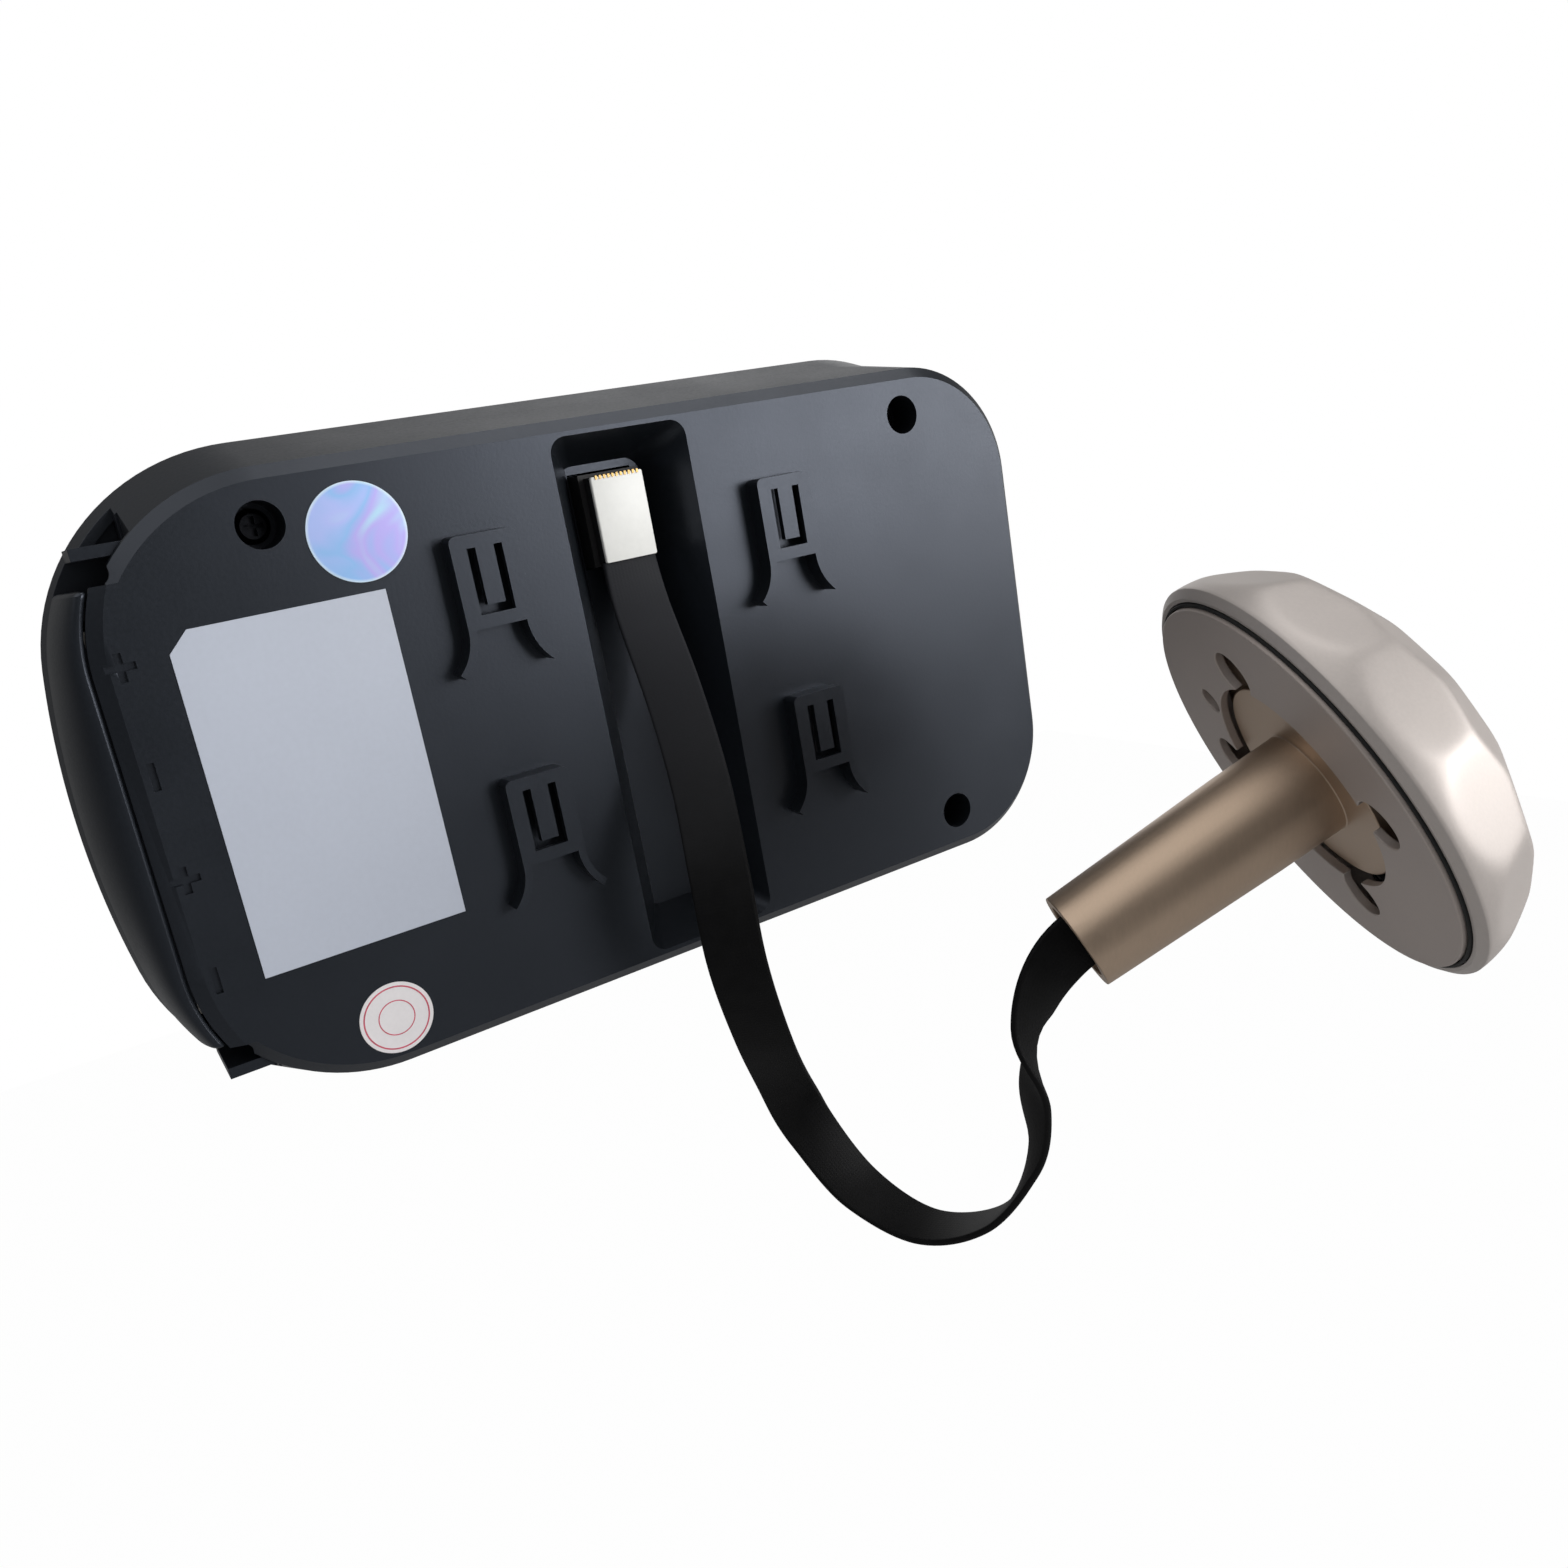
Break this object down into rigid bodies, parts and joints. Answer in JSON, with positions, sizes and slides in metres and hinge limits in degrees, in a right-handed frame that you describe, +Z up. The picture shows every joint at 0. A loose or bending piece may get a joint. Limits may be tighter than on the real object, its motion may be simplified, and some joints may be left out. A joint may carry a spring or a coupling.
{
  "type": "door viewer camera",
  "caption": "Door viewer: an indoor screen monitor with hanging hooks and a sliding battery door, joined by a flat cable to a domed outdoor camera head with a bell button and a door barrel.",
  "frame": {"origin": "centre of the cable channel on the monitor's back face, where the monitor meets its door bracket", "axes": "+Z up as the monitor hangs in use, -Y out of the monitor's back towards the door, +X to the right as seen from the back"},
  "size_m": [0.1495, 0.1101, 0.1267],
  "materials": {
    "case_plastic": "satin charcoal, slightly blue, very fine grain",
    "key_plastic": "satin dark grey",
    "window_glass": "clear with a black border",
    "display": "dark, switched off",
    "circuit_board": "green solder mask",
    "black_plastic": "matt black",
    "connector_plastic": "smooth off-white",
    "cell_skin": "plain shrink sleeve, no print",
    "contact_steel": "nickel plated",
    "screw_steel": "blackened steel",
    "cable_jacket": "matt black flat jacket",
    "dome_metal": "champagne silver, satin",
    "button_metal": "satin silver",
    "plate_metal": "taupe, satin",
    "barrel_metal": "bronze anodised, satin",
    "seal_rubber": "matt black",
    "lens_glass": "dark tint",
    "led_clear": "clear"
  },
  "bodies": {
    "monitor": {"front_housing": "case_plastic", "rear_cover": "case_plastic", "screen_window": "window_glass", "lcd_panel": "display", "main_board": "circuit_board", "key_board": "circuit_board", "head_board": "circuit_board", "board_chips": "black_plastic", "key_switch": "black_plastic", "bell_switch": "black_plastic", "camera_module": "black_plastic", "speaker": "black_plastic", "cable_socket": "connector_plastic", "cable_plug": "connector_plastic", "battery_1": "cell_skin", "battery_2": "cell_skin", "battery_3": "cell_skin", "battery_4": "cell_skin", "bay_contacts": "contact_steel", "case_screws": "screw_steel", "head_screws": "screw_steel", "ribbon_cable": "cable_jacket", "dome_shell": "dome_metal", "door_plate": "plate_metal", "barrel": "barrel_metal", "seal_ring": "seal_rubber", "lens_window": "lens_glass", "ir_leds": "led_clear"},
    "door": {"battery_door": "case_plastic", "door_contacts": "contact_steel"},
    "key": {"view_key": "key_plastic"},
    "bell": {"bell_button": "button_metal"}
  },
  "joints": [
    {"name": "door_slide", "type": "slide", "parent": "monitor", "child": "door", "axis": [-1, 0, 0], "range_m": [0, 0.028]},
    {"name": "key_press", "type": "slide", "parent": "monitor", "child": "key", "axis": [0, -1, 0], "range_m": [0, 0.0006], "stiffness_N_per_m": 800},
    {"name": "bell_press", "type": "slide", "parent": "monitor", "child": "bell", "axis": [-0.818, 0.3902, -0.4226], "range_m": [0, 0.0006], "stiffness_N_per_m": 800}
  ]
}
